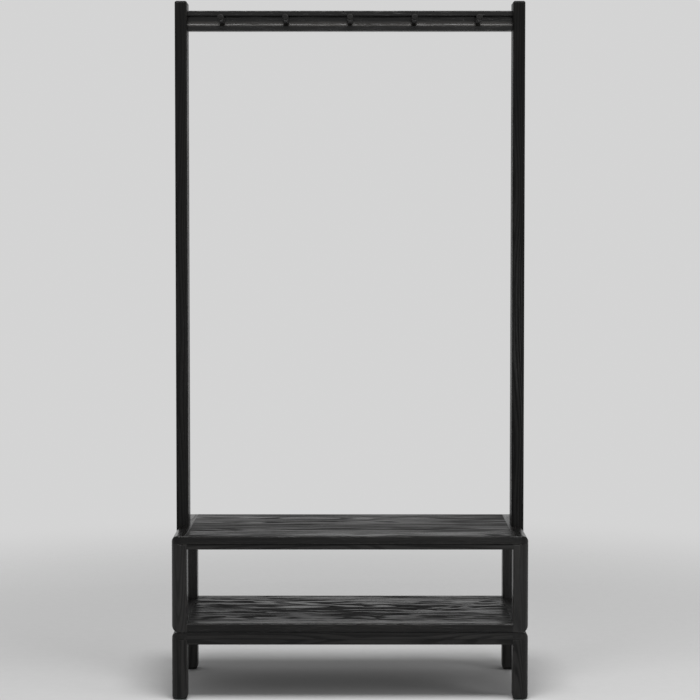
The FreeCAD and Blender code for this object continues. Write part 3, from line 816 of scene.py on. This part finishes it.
@dataclass(frozen=True)
class PressedFelt:
    """Dark felt of tangled fibres, for the glides under the feet."""

    dark: Colour = (0.030, 0.030, 0.031)
    pale: Colour = (0.085, 0.085, 0.088)
    tangle: Pattern = Pattern((2600.0, 2600.0, 2600.0), detail=4.0, rough=0.7)
    fibre_strength: float = 0.8
    fibre_depth: float = 0.0004

    def material(self) -> bpy.types.Material:
        """Makes the finish.

        Returns:
            The material.
        """
        material, sheet = new_material("pressed_felt")
        tangle = sheet.noise(sheet.point(), self.tangle)
        colour = sheet.blend(sheet.ramp(tangle, self.tangle.span), self.dark, self.pale)
        shader = close_shader(sheet, Roughness=0.95, Sheen_Weight=0.4, Sheen_Roughness=0.6)
        sheet.feed(shader.inputs["Base Color"], colour)
        sheet.feed(shader.inputs["Normal"], sheet.bump(tangle, self.fibre_strength, self.fibre_depth))
        return material


@dataclass
class TimberWork(ABC):
    """A sub-assembly of stained boards.

    Fields:
        oak: The finish of all its boards.
    """

    oak: BlackOak

    @abstractmethod
    def boards(self) -> list[Board]:
        """Lists the boards."""

    def dress(self) -> None:
        """Stains every board."""
        for board in self.boards():
            paint(board.node, self.oak.material(board))


@dataclass
class BaseFrame(TimberWork):
    """The low base: four short legs, two end rails, two side rails and two stepped long rails."""

    end_rail_seed: float = 31.0
    side_rail_seed: float = 33.0
    long_rail_seed: float = 35.0
    leg_seed: float = 37.0

    def boards(self) -> list[Board]:
        """Lists the base's timber.

        Returns:
            Its boards.
        """
        found = []
        for number, side in enumerate(SIDES):
            found.append(Board(f"base_end_rail_{side}", Grain.CROSS, self.end_rail_seed + number,
                               seam=Seam.ABOVE, butts=(INNER_FACE[side],)))
            found.append(Board(f"base_side_rail_{side}", Grain.CROSS, self.side_rail_seed + number))
        for number, end in enumerate(ENDS):
            found.append(Board(f"base_{end}_rail", Grain.RAIL, self.long_rail_seed + number,
                               pith=0.06, aside=0.01, seam=Seam.ABOVE, butts=BOTH_ENDS))
            for step, side in enumerate(SIDES):
                seed = self.leg_seed + len(SIDES) * number + step
                found.append(Board(f"base_leg_{end}_{side}", Grain.UPRIGHT, seed))
        return found


@dataclass
class Bench(TimberWork):
    """The bench: four legs, a shelf and a seat of glued staves, and the rails that carry them."""

    seat_staves: int = 4
    seat_matt: tuple[float, ...] = (0.0, 0.14, 0.16, 0.05)
    seat_seed: float = 3.0
    shelf_staves: int = 3
    shelf_matt: tuple[float, ...] = (0.5, 0.3, 0.02)
    shelf_seed: float = 11.0
    end_rail_seed: float = 13.0
    seat_side_seed: float = 15.0
    shelf_side_seed: float = 17.0
    long_rail_seed: float = 19.0
    leg_seed: float = 21.0

    def boards(self) -> list[Board]:
        """Lists the bench's timber.

        Returns:
            Its boards.
        """
        found = [
            Board("seat_panel", Grain.PANEL, self.seat_seed, staves=self.seat_staves, pith=0.09,
                  streaks=0.9, gloss=0.8, matt=self.seat_matt, worn_front=0.2, butts=BOTH_ENDS),
            Board("shelf_panel", Grain.PANEL, self.shelf_seed, staves=self.shelf_staves, pith=0.13,
                  streaks=1.7, shortness=2.2, gloss=0.95, matt=self.shelf_matt, worn_front=0.6,
                  seam=Seam.BELOW, butts=BOTH_ENDS),
        ]
        for number, side in enumerate(SIDES):
            # tone 0.8 paints their tops darker, painted shade for the dimmer light their tops
            # reflect.
            found.append(Board(f"seat_end_rail_{side}", Grain.CROSS, self.end_rail_seed + number,
                               gloss=0.8, polish=0.5, tone=0.8, butts=(INNER_FACE[side],)))
            found.append(Board(f"seat_side_rail_{side}", Grain.CROSS, self.seat_side_seed + number))
            found.append(Board(f"shelf_side_rail_{side}", Grain.CROSS, self.shelf_side_seed + number,
                               butts=(INNER_FACE[side], "-y", "+y")))
        for number, end in enumerate(ENDS):
            found.append(Board(f"seat_{end}_rail", Grain.RAIL, self.long_rail_seed + number,
                               pith=0.05, aside=0.01, seam=Seam.ABOVE, butts=BOTH_ENDS))
            for step, side in enumerate(SIDES):
                seed = self.leg_seed + len(SIDES) * number + step
                # tone 1.15 paints the legs lighter, painted light for the light that falls on them
                # from low in front; rub 1.6 paints their edges lighter, partly wear and partly a
                # painted highlight of their lit inner faces.
                found.append(Board(f"upper_leg_{end}_{side}", Grain.UPRIGHT, seed,
                                   gloss=1.3, polish=0.4, tone=1.15, rub=1.6))
        return found


@dataclass
class PegRack(TimberWork):
    """The rack: two posts, the coved rail between them and its pegs."""

    rail_seed: float = 41.0
    post_seed: float = 42.0
    post_gloss: Pair = (0.65, 0.45)
    peg_count: int = 5
    peg_seed: float = 45.0

    def boards(self) -> list[Board]:
        """Lists the rack's timber.

        Returns:
            Its boards.
        """
        # The rail's lower cove gets a painted highlight.
        found = [Board("peg_rail", Grain.RAIL, self.rail_seed, pith=0.07, aside=0.01, gloss=1.9,
                       polish=0.5, tone=0.3, painted_lip_light=0.9, butts=BOTH_ENDS)]
        for number, side in enumerate(SIDES):
            # tone 0.55 paints the posts darker, painted shade for the lesser light that reaches them.
            found.append(Board(f"post_{side}", Grain.UPRIGHT, self.post_seed + number, pith=0.08,
                               gloss=self.post_gloss[number], polish=0.25, tone=0.55, butts=("-z",)))
        for number in range(self.peg_count):
            found.append(Board(f"peg_{number + 1}", Grain.PEG, self.peg_seed + number,
                               pith=0.03, aside=0.0))
        return found


@dataclass
class Joinery:
    """What holds the timber together, and the glides that it stands on."""

    beech: BareBeech = BareBeech()
    steel: Metal = Metal("black_oxide_steel", (0.10, 0.10, 0.105), roughness=0.42)
    brass: Metal = Metal("machined_brass", (0.70, 0.50, 0.22), roughness=0.30)
    felt: PressedFelt = PressedFelt()
    tenons: tuple[str, ...] = ("leg_tenons", "module_tenons", "rail_tenons", "shelf_tenons")
    bolted: tuple[str, ...] = ("post", "module")

    def dress(self) -> None:
        """Gives each small part its finish."""
        beech = self.beech.material()
        for node in self.tenons:
            paint(node, beech)
        steel = self.steel.material()
        brass = self.brass.material()
        for prefix in self.bolted:
            paint(f"{prefix}_bolts", steel)
            paint(f"{prefix}_inserts", brass)
        paint("floor_glides", self.felt.material())


@dataclass(frozen=True)
class Softbox:
    """One rectangular studio lamp.

    Fields:
        name: The lamp's name.
        place: Where it hangs.
        aim: The point that it faces.
        width: The length of its level side.
        depth: The length of its other side.
        power: Its power in watts.
    """

    name: str
    place: Triple
    aim: Triple
    width: float
    depth: float
    power: float


@dataclass
class Studio:
    """A pale floor, a pale surround, soft lamps and the camera.

    Fields:
        surround: The level of the surround where it is seen.
        fill: The level at which the surround lights the part.
        floor_colour: The floor's paler grey.
        floor_dark: The lightness of its darker grey, as a share of the paler.
        floor_grain: How the two greys lie.
        floor_side: The floor's width.
        floor_fade: The distances from the middle between which it fades.
        lamps: The soft lamps.
        camera_place: Where the camera stands.
        camera_tilt: How far it looks down, in degrees.
        camera_lens: Its focal length in millimetres.
        camera_shift: Its vertical shift.
    """

    surround: float = 0.66
    fill: float = 0.30
    floor_colour: Colour = (0.66, 0.66, 0.66)
    floor_dark: float = 0.985
    floor_grain: Pattern = Pattern((35.0, 35.0, 35.0), detail=3.0)
    floor_side: float = 16.0
    floor_fade: Pair = (0.9, 3.0)
    lamps: tuple[Softbox, ...] = (
        Softbox("overhead_softbox", (0.1, -1.25, 4.4), (0.0, -0.1, 0.8),
                width=2.2, depth=1.6, power=140.0),
        Softbox("front_softbox", (1.1, -3.3, 0.6), (0.0, 0.0, 0.4),
                width=2.0, depth=0.8, power=20.0),
        Softbox("right_softbox", (3.2, -1.6, 2.0), (0.0, 0.0, 0.9),
                width=1.2, depth=1.8, power=14.0),
    )
    camera_place: Triple = (0.0, -5.108, 1.2153)
    camera_tilt: float = 2.44
    camera_lens: float = 99.71
    camera_shift: float = -0.06

    def light_world(self) -> None:
        """Surrounds the scene with an even pale light."""
        world = bpy.data.worlds.new("pale_surround")
        bpy.context.scene.world = world
        world.use_nodes = True
        sheet = NodeSheet(world.node_tree)
        path = sheet.add("ShaderNodeLightPath")
        seen = sheet.math("MAXIMUM", path.outputs["Is Camera Ray"], path.outputs["Is Glossy Ray"])
        seen = sheet.math("MAXIMUM", seen, path.outputs["Is Transmission Ray"])
        level = sheet.add("ShaderNodeMapRange")
        for socket, value in zip(level.inputs, (seen, 0.0, 1.0, self.fill, self.surround)):
            sheet.feed(socket, value)
        background = sheet.add("ShaderNodeBackground")
        background.inputs["Color"].default_value = (1.0, 1.0, 1.0, 1.0)
        sheet.feed(background.inputs["Strength"], level.outputs[0])
        output = sheet.add("ShaderNodeOutputWorld")
        sheet.feed(output.inputs["Surface"], background.outputs[0])

    def lay_floor(self) -> None:
        """Lays a pale matt floor that fades into the surround."""
        half = self.floor_side / 2
        mesh = bpy.data.meshes.new("studio_floor")
        corners = [(-half, -half, 0.0), (half, -half, 0.0), (half, half, 0.0), (-half, half, 0.0)]
        mesh.from_pydata(corners, [], [(0, 1, 2, 3)])
        floor = bpy.data.objects.new("studio_floor", mesh)
        bpy.context.scene.collection.objects.link(floor)
        material, sheet = new_material("studio_floor")
        point = sheet.point()
        distance = sheet.add("ShaderNodeVectorMath", operation="LENGTH")
        sheet.feed(distance.inputs[0], point)
        darker = tuple(self.floor_dark * value for value in self.floor_colour)
        grey = sheet.blend(sheet.share(point, self.floor_grain), darker, self.floor_colour)
        fade = sheet.ramp(distance.outputs["Value"], self.floor_fade, FALL)
        shader = close_shader(sheet, Roughness=1.0, Specular_IOR_Level=0.0)
        sheet.feed(shader.inputs["Base Color"], grey)
        sheet.feed(shader.inputs["Alpha"], fade)
        mesh.materials.append(material)
        LOG.info("studio_floor: %.0f m square", self.floor_side)

    def hang_lamps(self) -> None:
        """Hangs the soft lamps, which the camera itself doesn't see."""
        for box in self.lamps:
            light = bpy.data.lights.new(box.name, "AREA")
            light.shape = "RECTANGLE"
            light.size = box.width
            light.size_y = box.depth
            light.energy = box.power
            lamp = bpy.data.objects.new(box.name, light)
            lamp.visible_camera = False
            lamp.location = box.place
            facing = Vector(box.aim) - Vector(box.place)
            lamp.rotation_euler = facing.to_track_quat("-Z", "Y").to_euler()
            bpy.context.scene.collection.objects.link(lamp)
            LOG.info("%s: %.0f W", box.name, box.power)

    def set_camera(self) -> None:
        """Sets the camera straight in front, a little above the middle."""
        data = bpy.data.cameras.new("front_camera")
        data.lens = self.camera_lens
        data.shift_y = self.camera_shift
        camera = bpy.data.objects.new("front_camera", data)
        camera.location = self.camera_place
        camera.rotation_euler = Euler((math.radians(90.0 - self.camera_tilt), 0.0, 0.0))
        bpy.context.scene.collection.objects.link(camera)
        bpy.context.scene.camera = camera

    def build(self) -> None:
        """Makes the whole studio."""
        bpy.context.scene.view_settings.view_transform = "Standard"
        self.light_world()
        self.lay_floor()
        self.hang_lamps()
        self.set_camera()


def main() -> None:
    """Dresses the sub-assemblies in order and sets up the studio."""
    logging.basicConfig(level=logging.INFO, format="%(message)s")
    oak = BlackOak()
    BaseFrame(oak).dress()
    Bench(oak).dress()
    PegRack(oak).dress()
    Joinery().dress()
    Studio().build()


if __name__ == "__main__":
    main()
